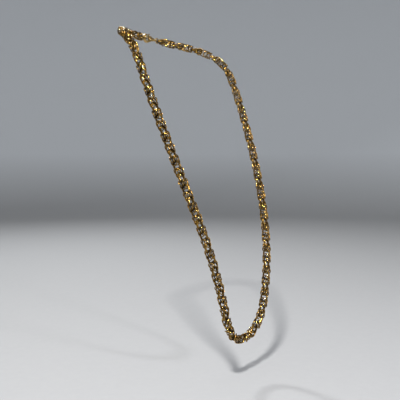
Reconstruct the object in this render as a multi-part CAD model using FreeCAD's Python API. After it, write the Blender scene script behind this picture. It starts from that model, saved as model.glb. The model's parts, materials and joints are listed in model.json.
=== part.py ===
import FreeCAD, Part
import math
import os

from FreeCAD import Placement, Rotation, Vector

# A 30 inch rope of round-wire chain links in the Byzantine weave, worn as a long U.
# Millimetres. +Z is up, the front of the necklace faces -Y, and the origin is the
# centre of the neck opening at the height of the clasp.

# ---- driving dimensions of the weave -------------------------------------------------
WIRE = 1.0                 # diameter of the link wire
PITCH = 10.2               # length of one repeat of the weave, from crossing to crossing
OVAL_WIDTH = 5.1           # inside width of an oval link
OVAL_LENGTH = 6.95         # inside length of an oval link
FOLD_BORE = 4.95           # inside diameter of a folded round link
KNOT_TILT = 10.7           # lean of each spread link, degrees
KNOT_SPREAD = 1.37         # a spread link's centre from the strand's axis
KNOT_HEIGHT = 3.04         # a spread link's centre above the lower crossing
FOLD_ANGLE = 67.5          # a folded link's slope below level, degrees
FOLD_OUT = 0.78            # a folded link's inner wire from the strand's axis
FOLD_RISE = 1.51           # that wire above the spread links' centre
PAIR_OFFSET = 0.57         # a connecting link's centre from the strand's axis
PAIR_RISE = 4.05           # a connecting link's centre above the spread links' centre
CATCH = 0.89               # wire centre beyond the crossing where two links hook

# ---- driving dimensions of the strand ------------------------------------------------
REPEATS = 36               # repeats of the weave in each half of the chain
HINGED = range(3, 25)      # crossings at which the hanging loop hinges, from the bottom
# Along one half, counted in repeats from the bottom: the strand's climb above level,
# and its heading in plan from +X towards +Y, in degrees.
CLIMB = (
    (0, 0), (1, 20), (2, 40), (3, 58), (4.5, 73), (7, 74), (14, 69),
    (26, 68), (30, 27), (33, 7), (36, 0),
)
HEADING = (
    (0, 0), (2, -5), (3.5, -4), (6, 14), (10, 41), (16, 61),
    (25, 86), (29, 108), (32.5, 148), (36, 180),
)
ROLL_FROM = 24             # repeat from which the strand rolls to lie flat at the clasp
NECK_REACH = 50.0          # the clasp's distance behind the origin

# ---- driving dimensions of the clasp -------------------------------------------------
JUMP_BORE = 3.6            # inside diameter of the ring between the chain and the claw
EYE_BORE = 3.0             # inside diameter of the claw's swivel eye
EYE_WIRE = 0.9
POST_RADIUS = 0.6          # the swivel eye's post, and the head that holds it
POST_HEAD_RADIUS = 1.0
POST_HEAD = 0.8
END_RING_WIRE = 1.3
CLAW_THICK = 2.8
MOUTH_RADIUS = 2.7         # inside radius of the hook
HOOK_RADIUS = 4.4          # outside radius of the hook
TAIL_LENGTH = 9.2          # hook's centre to the end of the tail
TAIL_RADIUS = 1.7
TAIL_WALL = 1.4            # end wall that the post turns in
TAIL_POCKET = 2.0          # length of the pocket for the post's head
EDGE_ROUND = 0.55
SLOT = 1.4                 # width of the trigger's slot
SLOT_RADIUS = 2.2
SLIDE_GAP = 0.1            # between the trigger and the side of its slot
TRIGGER_THICK = 0.8
TRIGGER_INNER, TRIGGER_OUTER = 2.8, 3.9
TRIGGER_REACH = 6.2        # rivet to the trigger's tip
TRIGGER_HUB = 1.15
MOUTH_START, MOUTH_END = 34, 150
RIVET_RADIUS = 0.45
RIVET_X, RIVET_Z = 4.3, 1.55
TURN_GAP = 0.05            # round the rivet, in the trigger
SPRING_RADIUS = 0.72
SPRING_WIRE = 0.18
SPRING_TURN = 0.24
EYE_GAP = 0.3              # slack between the swivel eye and what it meets
CAUGHT = 0.6               # the end ring's wire in the hook, from the hook's centre

X_AXIS, Y_AXIS, Z_AXIS = Vector(1, 0, 0), Vector(0, 1, 0), Vector(0, 0, 1)
ORIGIN = Vector(0, 0, 0)


# ---- the strand's route --------------------------------------------------------------
def station_slope(stations, i):
    """The slope of the smooth curve at station i, level where the stations turn back."""
    before = stations[i - 1]
    here = stations[i]
    rise_before = (here[1] - before[1]) / (here[0] - before[0])
    if i == len(stations) - 1:
        return rise_before
    after = stations[i + 1]
    rise_after = (after[1] - here[1]) / (after[0] - here[0])
    if rise_before * rise_after <= 0:
        return 0.0
    return 2 * rise_before * rise_after / (rise_before + rise_after)


def smooth(stations, s):
    """The value at s of a smooth curve through the stations."""
    i = 0
    while i < len(stations) - 2 and s > stations[i + 1][0]:
        i += 1
    (s0, low), (s1, high) = stations[i], stations[i + 1]
    span = s1 - s0
    t = (s - s0) / span
    start = station_slope(stations, i) if i else (high - low) / span
    end = station_slope(stations, i + 1)
    return (
        low * (2 * t**3 - 3 * t**2 + 1)
        + start * span * (t**3 - 2 * t**2 + t)
        + high * (3 * t**2 - 2 * t**3)
        + end * span * (t**3 - t**2)
    )


def direction(s):
    climb = math.radians(smooth(CLIMB, s))
    heading = math.radians(smooth(HEADING, s))
    return Vector(
        math.cos(climb) * math.cos(heading),
        math.cos(climb) * math.sin(heading),
        math.sin(climb),
    )


def right_crossings():
    """The crossings between repeats on the right half, bottom first, from the bottom."""
    points = [ORIGIN]
    for k in range(REPEATS):
        points.append(points[-1] + direction(k + 0.5) * PITCH)
    shift = Vector(0, NECK_REACH - points[-1].y, -points[-1].z)
    return [p + shift for p in points]


def right_normals(points):
    """A normal of each repeat: carried without twist, then rolled upright by the clasp."""
    normals = []
    normal = -Y_AXIS
    for k in range(REPEATS):
        along = (points[k + 1] - points[k]).normalize()
        normal = (normal - along * normal.dot(along)).normalize()
        normals.append(normal)
    upright = (Z_AXIS - along * Z_AXIS.dot(along)).normalize()
    full_roll = math.atan2(normal.cross(upright).dot(along), normal.dot(upright))
    for k in range(ROLL_FROM, REPEATS):
        along = points[k + 1] - points[k]
        share = (k - ROLL_FROM + 1) / (REPEATS - ROLL_FROM)
        roll = Rotation(along, math.degrees(full_roll) * share)
        normals[k] = roll.multVec(normals[k])
    return normals


def mirrored(v):
    return Vector(-v.x, v.y, v.z)


# ---- the links -----------------------------------------------------------------------
def oval_link(width, length, wire):
    """An oval link in the XZ plane, its long side along Z."""
    bend = (width + wire) / 2
    straight = (length - width) / 2
    top = Part.makeTorus(bend, wire / 2, ORIGIN, Z_AXIS, -180, 180, 180)
    bottom = top.copy()
    top.Placement = Placement(Vector(0, 0, straight), Rotation(X_AXIS, 90))
    bottom.Placement = Placement(Vector(0, 0, -straight), Rotation(X_AXIS, -90))
    left = Part.makeCylinder(wire / 2, 2 * straight, Vector(-bend, 0, -straight), Z_AXIS)
    right = Part.makeCylinder(wire / 2, 2 * straight, Vector(bend, 0, -straight), Z_AXIS)
    return top.fuse([bottom, left, right]).removeSplitter().Solids[0]


def repeat_of_weave():
    """One repeat, its lower crossing at the origin and its upper one at PITCH along Z."""
    oval = oval_link(OVAL_WIDTH, OVAL_LENGTH, WIRE)
    links = []
    for side in (1, -1):
        spread = Placement(
            Vector(0, side * KNOT_SPREAD, KNOT_HEIGHT),
            Rotation(X_AXIS, -side * KNOT_TILT),
        )
        links += placed([oval], spread)
        pair = Placement(
            Vector(0, side * PAIR_OFFSET, KNOT_HEIGHT + PAIR_RISE), Rotation()
        )
        links += placed([oval], pair)
    fold_radius = (FOLD_BORE + WIRE) / 2
    slope = math.radians(FOLD_ANGLE)
    for side in (1, -1):
        out = Vector(side * math.cos(slope), 0, -math.sin(slope))
        inner = Vector(side * FOLD_OUT, 0, KNOT_HEIGHT + FOLD_RISE)
        links.append(
            Part.makeTorus(
                fold_radius, WIRE / 2, inner + out * fold_radius, out.cross(Y_AXIS)
            )
        )
    return links


def repeat_placement(start, end, normal, quarter_turns):
    """Where a repeat goes that runs from start to end, rolled about its own length."""
    along = (end - start).normalize()
    across = along.cross(normal).normalize()
    square = Rotation(normal, across, along, "ZXY")
    return Placement(start, square * Rotation(Z_AXIS, 90 * quarter_turns))


def placed(shapes, placement):
    copies = []
    for shape in shapes:
        copy = shape.copy()
        copy.Placement = placement.multiply(copy.Placement)
        copies.append(copy)
    return copies


def save(name, shapes):
    shape = shapes[0] if len(shapes) == 1 else Part.makeCompound(shapes)
    shape.exportStep(f"parts/{name}.step")


def right_repeat(weave, points, normals, k):
    return placed(weave, repeat_placement(points[k], points[k + 1], normals[k], k))


def left_repeat(weave, points, normals, k):
    """The weave keeps its direction round the necklace, so a left repeat runs down."""
    high, low = mirrored(points[k + 1]), mirrored(points[k])
    return placed(weave, repeat_placement(high, low, mirrored(normals[k]), -k - 1))


def build_chain(points, normals):
    weave = repeat_of_weave()
    runs = [("bottom", range(0, HINGED[0]))]
    runs += [(f"level_{k:02d}", range(k, k + 1)) for k in HINGED[:-1]]
    shoulder = range(HINGED[-1], (HINGED[-1] + REPEATS) // 2)
    runs += [("shoulder", shoulder), ("neck", range(shoulder[-1] + 1, REPEATS))]
    for name, repeats in runs:
        right, left = [], []
        for k in repeats:
            right += right_repeat(weave, points, normals, k)
            left += left_repeat(weave, points, normals, k)
        save(f"right_links_{name}", right)
        save(f"left_links_{name}", left)


# ---- the clasp -----------------------------------------------------------------------
def flat(points, thickness):
    """A plate centred on the XZ plane, from the corners of its outline."""
    corners = [Vector(x, -thickness / 2, z) for x, z in points]
    outline = Part.makePolygon(corners + corners[:1])
    return Part.Face(outline).extrude(Vector(0, thickness, 0))


def disc(radius, thickness, x=0, z=0):
    return Part.makeCylinder(radius, thickness, Vector(x, -thickness / 2, z), Y_AXIS)


def sector(start, end, reach, thickness):
    """The plate between two angles about the hook's centre."""
    corners = [(0, 0)]
    for angle in (start, (start + end) / 2, end):
        turn = math.radians(angle)
        corners.append((reach * math.cos(turn), reach * math.sin(turn)))
    return flat(corners, thickness)


def rounded(plate, radius):
    """A plate with its two faces' edges rounded."""
    edges = []
    for edge in plate.Edges:
        middle = edge.valueAt((edge.FirstParameter + edge.LastParameter) / 2)
        ends = [v.Point.y for v in edge.Vertexes]
        if max(ends) - min(ends) < radius and abs(middle.y - ends[0]) < radius:
            edges.append(edge)
    return plate.makeFillet(radius, edges)


def claw_body():
    """The claw, its hook's centre at the origin and its tail along +X."""
    deep = 2 * CLAW_THICK
    tail_z = TAIL_RADIUS - 0.15
    web = flat(
        (
            (0, -HOOK_RADIUS + 0.2), (3, -HOOK_RADIUS + 0.9), (TAIL_LENGTH - 2, -tail_z),
            (TAIL_LENGTH - 2, tail_z), (RIVET_X + 0.6, RIVET_Z + 1.35), (0, HOOK_RADIUS - 0.6),
        ),
        CLAW_THICK,
    )
    hook = rounded(disc(HOOK_RADIUS, CLAW_THICK), EDGE_ROUND)
    tail = Part.makeCylinder(TAIL_RADIUS, TAIL_LENGTH, ORIGIN, X_AXIS)
    body = hook.fuse([rounded(web, EDGE_ROUND), tail])
    body = body.cut(disc(MOUTH_RADIUS, deep))
    sweep = disc(TRIGGER_REACH + SLIDE_GAP, deep, RIVET_X, RIVET_Z)
    body = body.cut(sector(MOUTH_START, MOUTH_END, 3 * HOOK_RADIUS, deep).common(sweep))
    body = body.cut(disc(SLOT_RADIUS, SLOT, RIVET_X, RIVET_Z))
    body = body.cut(disc(RIVET_RADIUS, deep, RIVET_X, RIVET_Z))
    bore = Part.makeCylinder(
        POST_RADIUS + SLIDE_GAP, TAIL_WALL, Vector(TAIL_LENGTH - TAIL_WALL, 0, 0), X_AXIS
    )
    pocket = Part.makeCylinder(
        POST_HEAD_RADIUS + SLIDE_GAP, TAIL_POCKET,
        Vector(TAIL_LENGTH - TAIL_WALL - TAIL_POCKET, 0, 0), X_AXIS,
    )
    return body.cut(bore).cut(pocket).removeSplitter()


def claw_trigger():
    deep = 2 * CLAW_THICK
    ring = disc(TRIGGER_OUTER, TRIGGER_THICK).cut(disc(TRIGGER_INNER, deep))
    gate = ring.common(sector(15, MOUTH_END, 3 * HOOK_RADIUS, deep))
    gate = gate.common(disc(TRIGGER_REACH, deep, RIVET_X, RIVET_Z))
    thumb = flat(((2.1, 3.0), (3.2, 2.5), (3.9, 4.4), (3.4, 4.9), (2.9, 4.6)), TRIGGER_THICK)
    hub = disc(TRIGGER_HUB, TRIGGER_THICK, RIVET_X, RIVET_Z)
    trigger = gate.fuse([thumb, hub])
    trigger = trigger.cut(disc(RIVET_RADIUS + TURN_GAP, deep, RIVET_X, RIVET_Z))
    trigger.translate(Vector(0, (TRIGGER_THICK - SLOT) / 2 + SLIDE_GAP, 0))
    return trigger.removeSplitter()


def claw_spring():
    """The torsion spring round the rivet, beside the trigger."""
    free = SLOT - TRIGGER_THICK - 2 * SLIDE_GAP
    turns = Part.makeHelix(SPRING_TURN, free - SPRING_WIRE, SPRING_RADIUS)
    start = Vector(SPRING_RADIUS, 0, 0)
    section = Part.Wire(Part.makeCircle(SPRING_WIRE / 2, start, Y_AXIS))
    spring = Part.Wire(turns).makePipeShell([section], True, True)
    spring.Placement = Placement(
        Vector(RIVET_X, SLOT / 2 - SLIDE_GAP / 2 - SPRING_WIRE / 2, RIVET_Z),
        Rotation(X_AXIS, 90),
    )
    return spring


def swivel_eye():
    """The eye and its headed post, from the hook's centre, turning about X."""
    eye_radius = (EYE_BORE + EYE_WIRE) / 2
    eye_x = TAIL_LENGTH + EYE_GAP + EYE_WIRE / 2 + eye_radius
    eye = Part.makeTorus(eye_radius, EYE_WIRE / 2, Vector(eye_x, 0, 0), Z_AXIS)
    head_x = TAIL_LENGTH - TAIL_WALL - (TAIL_POCKET + POST_HEAD) / 2
    post = Part.makeCylinder(
        POST_RADIUS, eye_x - eye_radius - head_x, Vector(head_x, 0, 0), X_AXIS
    )
    head = Part.makeCylinder(POST_HEAD_RADIUS, POST_HEAD, Vector(head_x, 0, 0), X_AXIS)
    return eye.fuse([post, head]).removeSplitter(), eye_x - eye_radius


def build_clasp(end_x):
    """The clasp lies along X between the chain's two ends, at -end_x and end_x."""
    jump_radius = (JUMP_BORE + WIRE) / 2
    jump_x = end_x + CATCH - jump_radius
    jump = Part.makeTorus(jump_radius, WIRE / 2, Vector(jump_x, NECK_REACH, 0), Y_AXIS)
    save("clasp_jump_ring", [jump])

    eye, eye_left = swivel_eye()
    eye_right = eye_left + EYE_BORE + EYE_WIRE
    caught = jump_x - jump_radius + WIRE / 2 + EYE_GAP + EYE_WIRE / 2
    hook_x = caught - eye_right
    at_hook = Placement(Vector(hook_x, NECK_REACH, 0), Rotation())
    rivet = disc(RIVET_RADIUS, CLAW_THICK, RIVET_X, RIVET_Z)
    pieces = (
        ("swivel_eye", eye), ("claw_body", claw_body()), ("claw_trigger", claw_trigger()),
        ("claw_rivet", rivet), ("claw_spring", claw_spring()),
    )
    for name, piece in pieces:
        save(name, placed([piece], at_hook))

    caught_x = hook_x - CAUGHT
    held_x = -end_x - CATCH
    ring_radius = (caught_x - held_x) / 2
    centre = Vector((caught_x + held_x) / 2, NECK_REACH, 0)
    save("end_ring", [Part.makeTorus(ring_radius, END_RING_WIRE / 2, centre, Z_AXIS)])


os.makedirs("parts", exist_ok=True)
crossings = right_crossings()
build_chain(crossings, right_normals(crossings))
build_clasp(crossings[-1].x)
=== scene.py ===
import json
import math

import bmesh
import bpy
import numpy as np
from mathutils import Matrix, Vector


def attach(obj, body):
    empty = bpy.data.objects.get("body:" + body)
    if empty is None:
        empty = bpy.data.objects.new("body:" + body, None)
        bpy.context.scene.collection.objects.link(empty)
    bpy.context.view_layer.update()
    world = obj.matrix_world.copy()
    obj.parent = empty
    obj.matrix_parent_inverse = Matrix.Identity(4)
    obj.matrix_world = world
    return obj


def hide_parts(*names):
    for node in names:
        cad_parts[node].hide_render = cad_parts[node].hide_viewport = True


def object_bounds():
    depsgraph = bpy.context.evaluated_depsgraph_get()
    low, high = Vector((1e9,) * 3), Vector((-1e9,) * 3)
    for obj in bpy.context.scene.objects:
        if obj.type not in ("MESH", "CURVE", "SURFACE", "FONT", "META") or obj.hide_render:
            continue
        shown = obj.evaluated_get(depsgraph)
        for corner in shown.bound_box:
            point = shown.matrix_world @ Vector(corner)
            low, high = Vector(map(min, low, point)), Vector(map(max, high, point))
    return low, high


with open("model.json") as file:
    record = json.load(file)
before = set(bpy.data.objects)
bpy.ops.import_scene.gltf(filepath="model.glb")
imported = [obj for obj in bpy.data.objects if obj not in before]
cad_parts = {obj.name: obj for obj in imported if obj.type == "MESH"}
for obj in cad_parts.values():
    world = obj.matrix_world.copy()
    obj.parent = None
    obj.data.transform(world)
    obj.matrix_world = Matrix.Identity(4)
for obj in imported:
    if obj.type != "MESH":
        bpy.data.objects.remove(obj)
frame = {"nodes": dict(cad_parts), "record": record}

cad_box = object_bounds()
MM = 0.001

WELD = 1e-7                # CAD vertices closer than this are one

# ---- how finely a ring is made -------------------------------------------------------
AROUND = 16                # points round the wire
OVAL_POINTS = 52           # evenly spaced points along an oval ring
ROUND_POINTS = 60          # and along a round ring
ROUND_ENOUGH = 0.1 * MM    # a ring with a straight run shorter than this is round
SEAM_POINTS = (-0.10, -0.05, -0.02, 0.0, 0.02, 0.05, 0.10)   # mm from the closing seam
SEAM_CLEAR = 0.13 * MM     # the evenly spaced points keep this far from the seam
SEAM_DEPTH = 0.09          # share of the wire's radius taken off at the seam
SEAM_WIDTH = 0.035         # mm


# ---- materials -----------------------------------------------------------------------
MIX_A, MIX_B, MIX_RESULT = 6, 7, 2     # a Mix node's colour sockets, which share their names


class Nodes:
    """A short way to add linked shader nodes to one material."""

    def __init__(self, name):
        self.material = bpy.data.materials.new(name)
        self.material.use_nodes = True
        self.tree = self.material.node_tree
        self.tree.nodes.clear()
        self.output = self.add("ShaderNodeOutputMaterial")
        self.shader = self.add("ShaderNodeBsdfPrincipled")
        self.link(self.shader, "BSDF", self.output, "Surface")
        self.place = self.add("ShaderNodeTexCoord")

    def add(self, kind, **settings):
        node = self.tree.nodes.new(kind)
        for key, value in settings.items():
            setattr(node, key, value)
        return node

    def link(self, source, output, target, socket):
        self.tree.links.new(source.outputs[output], target.inputs[socket])

    def noise(self, scale, detail, stretch=(1, 1, 1)):
        mapping = self.add("ShaderNodeMapping")
        mapping.inputs["Scale"].default_value = stretch
        self.link(self.place, "Object", mapping, "Vector")
        noise = self.add("ShaderNodeTexNoise")
        noise.inputs["Scale"].default_value = scale
        noise.inputs["Detail"].default_value = detail
        self.link(mapping, "Vector", noise, "Vector")
        return noise

    def ramp(self, source, output, stops):
        ramp = self.add("ShaderNodeValToRGB")
        elements = ramp.color_ramp.elements
        while len(elements) < len(stops):
            elements.new(0.5)
        for element, (place, colour) in zip(elements, stops):
            element.position = place
            element.color = (*colour, 1)
        self.link(source, output, ramp, "Fac")
        return ramp

    def grey(self, source, output, low, high, start=0.0, end=1.0):
        spread = self.add("ShaderNodeMapRange")
        spread.inputs["From Min"].default_value = start
        spread.inputs["From Max"].default_value = end
        spread.inputs["To Min"].default_value = low
        spread.inputs["To Max"].default_value = high
        self.link(source, output, spread, "Value")
        return spread

    def mix(self, factor, a, b):
        """factor, a and b are (node, output) pairs."""
        mix = self.add("ShaderNodeMix", data_type="RGBA")
        self.tree.links.new(factor[0].outputs[factor[1]], mix.inputs[0])
        self.tree.links.new(a[0].outputs[a[1]], mix.inputs[MIX_A])
        self.tree.links.new(b[0].outputs[b[1]], mix.inputs[MIX_B])
        return mix


RECESS_REACH = 2.8 * MM    # how near other wire must be for a spot to count as a recess, darkened with painted shade
MOTTLE = 0.12              # how much noise blurs the edge of the painted recess shade
OPEN_FROM = 0.56           # a spot this open, from 0 to 1, starts to show plate instead of painted shade
CREST_FROM = 0.87          # and one this open starts to get a pale painted highlight
CREST_HIGHLIGHT_SHARE = 0.65           # how strong the painted highlight on the most open spots is
ROUGHNESS_SPREAD = 0.16    # between the hairlines
RECESS_DULL = 0.3          # roughness added where the painted shade lies
RING_DRIFT = 170           # noise scales: colour from ring to ring,
SHADE_MOTTLE_GRAIN = 900           # the mottle on the painted shade and highlight,
HAIRLINE_GRAIN = 2600      # and the polishing lines


def gold(name, highlight_colour, bright, deep, shade_colour, polish):
    """Gold-tone plate: its colour drifts from ring to ring, with painted shade in recesses and a pale
    painted highlight on crests.
    """
    n = Nodes(name)
    drift = n.noise(RING_DRIFT, detail=2)
    plate = n.ramp(drift, "Fac", ((0.35, deep), (0.62, bright)))
    # ambient occlusion marks the recesses that get painted shade
    shade = n.add("ShaderNodeAmbientOcclusion")
    shade.inputs["Distance"].default_value = RECESS_REACH
    shade.samples = 8
    shade_mottle = n.noise(SHADE_MOTTLE_GRAIN, detail=4)
    mottle = n.grey(shade_mottle, "Fac", -MOTTLE, MOTTLE)
    reach = n.add("ShaderNodeMath", operation="ADD", use_clamp=True)
    n.link(shade, "AO", reach, 0)
    n.link(mottle, "Result", reach, 1)
    shade_to_plate = n.grey(reach, "Value", 0.0, 1.0, start=OPEN_FROM, end=1.0)
    # painted shade: a near-black colour laid in the recesses
    painted_shade = n.ramp(shade_mottle, "Fac", ((0.3, shade_colour), (0.8, tuple(1.5 * c for c in shade_colour))))
    colour = n.mix((shade_to_plate, "Result"), (painted_shade, "Color"), (plate, "Color"))
    # painted highlight: a pale colour laid on the most open crests
    crest = n.grey(reach, "Value", 0.0, CREST_HIGHLIGHT_SHARE, start=CREST_FROM, end=1.0)
    painted_highlight = n.ramp(shade_mottle, "Fac", ((0.3, highlight_colour), (0.8, tuple(0.9 * c for c in highlight_colour))))
    colour = n.mix((crest, "Result"), (colour, MIX_RESULT), (painted_highlight, "Color"))
    n.link(colour, MIX_RESULT, n.shader, "Base Color")
    n.shader.inputs["Metallic"].default_value = 1.0

    hairlines = n.noise(HAIRLINE_GRAIN, detail=5, stretch=(1, 1, 0.12))
    rough = n.grey(hairlines, "Fac", polish, polish + ROUGHNESS_SPREAD, start=0.3, end=0.75)
    dull = n.grey(shade_to_plate, "Result", RECESS_DULL, 0.0)
    total = n.add("ShaderNodeMath", operation="ADD", use_clamp=True)
    n.link(rough, "Result", total, 0)
    n.link(dull, "Result", total, 1)
    n.link(total, "Value", n.shader, "Roughness")

    bump = n.add("ShaderNodeBump")
    bump.inputs["Strength"].default_value = 0.25
    bump.inputs["Distance"].default_value = 0.012 * MM
    n.link(hairlines, "Fac", bump, "Height")
    n.link(bump, "Normal", n.shader, "Normal")
    return n.material


def spring_steel():
    """Drawn steel wire, streaked by the die."""
    n = Nodes("spring_steel")
    drawn = n.noise(3200, detail=4, stretch=(1, 1, 0.1))
    colour = n.ramp(drawn, "Fac", ((0.3, (0.36, 0.36, 0.37)), (0.8, (0.62, 0.61, 0.60))))
    n.link(colour, "Color", n.shader, "Base Color")
    n.shader.inputs["Metallic"].default_value = 1.0
    rough = n.grey(drawn, "Fac", 0.25, 0.45)
    n.link(rough, "Result", n.shader, "Roughness")
    return n.material


FLOOR_Z = cad_box[0][2] - 0.03     # a little below the lowest link
FADE_HEIGHT = 0.25                 # over which the floor's paint turns to the wall's


def floor_paint():
    """Matt paint, lighter on the wall than on the floor, because less light falls on the wall."""
    n = Nodes("studio_floor")
    height = n.add("ShaderNodeSeparateXYZ")
    n.link(n.place, "Object", height, "Vector")
    paper = n.noise(160, detail=4)
    floor = n.ramp(paper, "Fac", ((0.3, (0.255, 0.262, 0.270)), (0.7, (0.262, 0.269, 0.277))))
    wall = n.ramp(paper, "Fac", ((0.3, (0.47, 0.50, 0.53)), (0.7, (0.48, 0.51, 0.54))))
    rise = n.grey(height, "Z", 0.0, 1.0, start=FLOOR_Z, end=FLOOR_Z + FADE_HEIGHT)
    colour = n.mix((rise, "Result"), (floor, "Color"), (wall, "Color"))
    n.link(colour, MIX_RESULT, n.shader, "Base Color")
    n.shader.inputs["Roughness"].default_value = 0.85
    return n.material


# In both golds the pale crest colour is a painted highlight and the near-black recess colour is painted
# shade.
GOLD_LINK = gold(
    "gold_links",
    highlight_colour=(0.47, 0.305, 0.090),
    bright=(0.34, 0.182, 0.025),
    deep=(0.14, 0.064, 0.006),
    shade_colour=(0.007, 0.0022, 0.0004),
    polish=0.09,
)
GOLD_CLASP = gold(
    "clasp_gold",
    highlight_colour=(0.66, 0.46, 0.20),
    bright=(0.56, 0.37, 0.12),
    deep=(0.44, 0.28, 0.07),
    shade_colour=(0.06, 0.03, 0.01),
    polish=0.14,
)
SPRING = spring_steel()


# ---- the rings -----------------------------------------------------------------------
def ring_shells(node):
    """The vertices of each ring in a CAD node, as arrays, in metres."""
    mesh = bmesh.new()
    mesh.from_mesh(node.data)
    bmesh.ops.remove_doubles(mesh, verts=mesh.verts, dist=WELD)
    seen, shells = set(), []
    for first in mesh.verts:
        if first in seen:
            continue
        seen.add(first)
        queue, shell = [first], []
        while queue:
            vertex = queue.pop()
            shell.append(vertex.co[:])
            for edge in vertex.link_edges:
                other = edge.other_vert(vertex)
                if other not in seen:
                    seen.add(other)
                    queue.append(other)
        shells.append(np.array(shell))
    mesh.free()
    return shells


def ring_frame(shell):
    """A ring's centre, its long, short and flat directions, and its outer half sizes."""
    centre = shell.mean(0)
    spread = np.linalg.eigh(np.cov((shell - centre).T))[1]
    axes = spread[:, ::-1]
    along = (shell - centre) @ axes
    middle = (along.max(0) + along.min(0)) / 2
    half = (along.max(0) - along.min(0)) / 2
    return centre + axes @ middle, axes, half


def ring_path(half_long, half_short, wire_radius):
    """A ring's centreline in its own plane, each point with its distance from the seam."""
    bend = half_short - wire_radius
    straight = max(half_long - half_short, 0.0)
    length = 2 * math.pi * bend + 4 * straight
    count = ROUND_POINTS if straight < ROUND_ENOUGH else OVAL_POINTS
    stations = [length * i / count for i in range(count)]
    stations = [s for s in stations if SEAM_CLEAR < s < length - SEAM_CLEAR]
    stations = [length + s * MM if s < 0 else s * MM for s in SEAM_POINTS] + stations
    path = []
    for s in sorted(stations):
        path.append((*oval_point(s, bend, straight), min(s, length - s)))
    return path


def oval_point(s, bend, straight):
    """The point at length s, from the middle of a long side."""
    side, arc = 2 * straight, math.pi * bend
    s = (s + straight) % (2 * side + 2 * arc)
    if s < side:
        return (s - straight, bend)
    s -= side
    if s < arc:
        turn = s / bend
        return (straight + bend * math.sin(turn), bend * math.cos(turn))
    s -= arc
    if s < side:
        return (straight - s, -bend)
    turn = (s - side) / bend
    return (-straight - bend * math.sin(turn), -bend * math.cos(turn))


def ring_mesh(shell):
    """Vertices and faces of one finely made ring, with its closing seam, in metres."""
    centre, axes, half = ring_frame(shell)
    wire_radius = half[2]
    path = ring_path(half[0], half[1], wire_radius)
    points = np.array([(x, y) for x, y, _ in path])
    ahead = np.roll(points, -1, 0) - np.roll(points, 1, 0)
    ahead /= np.linalg.norm(ahead, axis=1)[:, None]
    outward = np.stack([-ahead[:, 1], ahead[:, 0]], 1)
    angles = np.arange(AROUND) * 2 * math.pi / AROUND
    vertices = []
    for (x, y, from_seam), out in zip(path, outward):
        dip = SEAM_DEPTH * math.exp(-((from_seam / MM / SEAM_WIDTH) ** 2))
        radius = wire_radius * (1 - dip)
        for angle in angles:
            r = radius * math.cos(angle)
            vertices.append((x + out[0] * r, y + out[1] * r, radius * math.sin(angle)))
    vertices = centre + np.array(vertices) @ axes.T
    faces = []
    rows = len(path)
    flip = np.linalg.det(axes) < 0
    for i in range(rows):
        for j in range(AROUND):
            a, b = i * AROUND + j, i * AROUND + (j + 1) % AROUND
            c, d = (i + 1) % rows * AROUND + (j + 1) % AROUND, (i + 1) % rows * AROUND + j
            faces.append((a, d, c, b) if flip else (a, b, c, d))
    return vertices, faces


def add_piece(node_name, suffix, mesh, body, material):
    """Shows a mesh in place of a CAD node, riding on the node's body."""
    mesh.shade_smooth()
    mesh.materials.clear()
    mesh.materials.append(material)
    piece = bpy.data.objects.new(node_name + suffix, mesh)
    bpy.context.scene.collection.objects.link(piece)
    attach(piece, body)
    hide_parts(node_name)


def rings_mesh(node_name):
    """All rings of one CAD node, finely made, as one mesh."""
    vertices, faces, start = [], [], 0
    for shell in ring_shells(frame["nodes"][node_name]):
        ring_vertices, ring_faces = ring_mesh(shell)
        vertices.append(ring_vertices)
        faces += [tuple(start + i for i in face) for face in ring_faces]
        start += len(ring_vertices)
    mesh = bpy.data.meshes.new(node_name + "_rings")
    mesh.from_pydata(np.concatenate(vertices).tolist(), [], faces)
    return mesh


# ---- the clasp -----------------------------------------------------------------------
CAST_GRAIN = 0.08 * MM     # size of a casting's mesh
CAST_ROUNDS = 8            # smoothing rounds, which soften its edges as polishing does


def casting_mesh(node_name):
    """A clasp part with the softened edges of a polished casting."""
    mesh = frame["nodes"][node_name].data.copy()
    welded = bmesh.new()
    welded.from_mesh(mesh)
    bmesh.ops.remove_doubles(welded, verts=welded.verts, dist=WELD)
    welded.to_mesh(mesh)
    welded.free()
    rough = bpy.data.objects.new("rough_casting", mesh)
    bpy.context.scene.collection.objects.link(rough)
    remesh = rough.modifiers.new("remesh", "REMESH")
    remesh.mode = "VOXEL"
    remesh.voxel_size = CAST_GRAIN
    smooth = rough.modifiers.new("smooth", "SMOOTH")
    smooth.factor = 0.5
    smooth.iterations = CAST_ROUNDS
    view = bpy.context.evaluated_depsgraph_get()
    finished = bpy.data.meshes.new_from_object(rough.evaluated_get(view))
    bpy.data.objects.remove(rough)
    return finished


def keep_cad(node_name, material):
    """Gives a CAD node that is shown as it is its material."""
    materials = frame["nodes"][node_name].data.materials
    materials.clear()
    materials.append(material)


for body, members in frame["record"]["behaviour"]["bodies"].items():
    for node_name in members:
        if "_links_" in node_name:
            add_piece(node_name, "_rings", rings_mesh(node_name), body, GOLD_LINK)
        elif node_name.endswith("_ring"):
            add_piece(node_name, "_wire", rings_mesh(node_name), body, GOLD_CLASP)
        elif node_name in ("claw_body", "claw_trigger"):
            add_piece(node_name, "_cast", casting_mesh(node_name), body, GOLD_CLASP)
keep_cad("claw_rivet", GOLD_CLASP)
keep_cad("swivel_eye", GOLD_CLASP)
keep_cad("claw_spring", SPRING)


# ---- the studio ----------------------------------------------------------------------
FLOOR_RADIUS = 1.6
FLOOR_RINGS = 4            # rows of faces across the flat floor
WALL_BEND = 0.7            # radius of the curve from floor to wall
BEND_STEPS = 12
WALL_HEIGHT = 1.6
SIDES = 96


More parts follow.
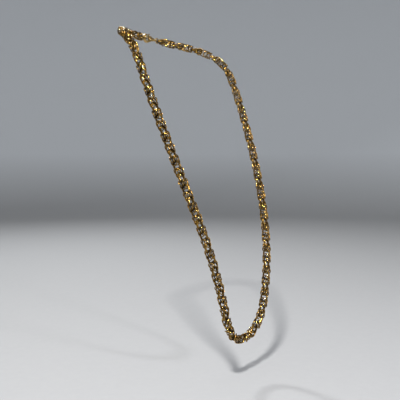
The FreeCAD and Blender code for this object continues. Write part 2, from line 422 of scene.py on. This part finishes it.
def studio_bowl():
    """A round floor that curves up into a plain wall on every side."""
    profile = [(FLOOR_RADIUS * i / FLOOR_RINGS, FLOOR_Z) for i in range(1, FLOOR_RINGS + 1)]
    for i in range(1, BEND_STEPS + 1):
        turn = math.pi / 2 * i / BEND_STEPS
        out, up = WALL_BEND * math.sin(turn), WALL_BEND * (1 - math.cos(turn))
        profile.append((FLOOR_RADIUS + out, FLOOR_Z + up))
    profile.append((FLOOR_RADIUS + WALL_BEND, FLOOR_Z + WALL_HEIGHT))
    vertices = [(0, 0, FLOOR_Z)]
    for radius, z in profile:
        for k in range(SIDES):
            turn = 2 * math.pi * k / SIDES
            vertices.append((radius * math.cos(turn), radius * math.sin(turn), z))
    faces = [(0, 1 + k, 1 + (k + 1) % SIDES) for k in range(SIDES)]
    for row in range(len(profile) - 1):
        low, high = 1 + row * SIDES, 1 + (row + 1) * SIDES
        for k in range(SIDES):
            beside = (k + 1) % SIDES
            faces.append((low + k, high + k, high + beside, low + beside))
    mesh = bpy.data.meshes.new("studio_floor")
    mesh.from_pydata(vertices, [], faces)
    mesh.shade_smooth()
    mesh.materials.append(floor_paint())
    floor = bpy.data.objects.new("studio_floor", mesh)
    bpy.context.scene.collection.objects.link(floor)


NECKLACE_MIDDLE = Vector((0, -0.02, -0.13))
SMALL_LIGHT = 0.13         # across, small enough to leave a glint on each ring


def soft_light(name, place, size, power, colour=(1, 1, 1)):
    """A round soft light that points at the necklace and isn't seen itself."""
    data = bpy.data.lights.new(name, "AREA")
    data.shape = "DISK"
    data.size = size
    data.energy = power
    data.color = colour
    light = bpy.data.objects.new(name, data)
    light.location = place
    light.rotation_euler = (NECKLACE_MIDDLE - Vector(place)).to_track_quat("-Z", "Y").to_euler()
    light.visible_camera = False
    bpy.context.scene.collection.objects.link(light)


studio_bowl()
soft_light("ceiling", (0, 0, 1.7), 1.6, 7.5, (0.97, 0.98, 1.0))
soft_light("key", (-0.75, -0.35, 0.85), SMALL_LIGHT, 34, (1.0, 0.97, 0.94))
soft_light("fill", (-0.1, -1.3, 0.25), SMALL_LIGHT, 13, (0.97, 0.96, 1.0))
soft_light("rim", (0.5, 0.9, 0.7), SMALL_LIGHT, 12)

world = bpy.data.worlds.new("studio")
world.use_nodes = True
world.node_tree.nodes["Background"].inputs["Color"].default_value = (0.58, 0.60, 0.63, 1)
world.node_tree.nodes["Background"].inputs["Strength"].default_value = 0.22
bpy.context.scene.world = world
bpy.context.scene.view_settings.view_transform = "Standard"

# ---- the camera: a 50 mm lens, left of the front and just above the middle -----------
AZIMUTH, ELEVATION, ROLL = math.radians(52.93), math.radians(3.24), math.radians(0.23)
camera_data = bpy.data.cameras.new("camera")
camera_data.sensor_width = 36
camera_data.lens = 50.4
camera = bpy.data.objects.new("camera", camera_data)
camera.location = (-0.4105, -0.3205, -0.1254)
ahead = Vector((
    math.sin(AZIMUTH) * math.cos(ELEVATION),
    math.cos(AZIMUTH) * math.cos(ELEVATION),
    -math.sin(ELEVATION),
))
camera.rotation_mode = "QUATERNION"
camera.rotation_quaternion = ahead.to_track_quat("-Z", "Y")
camera.rotation_quaternion = camera.rotation_quaternion @ Matrix.Rotation(-ROLL, 3, "Z").to_quaternion()
bpy.context.scene.collection.objects.link(camera)
bpy.context.scene.camera = camera
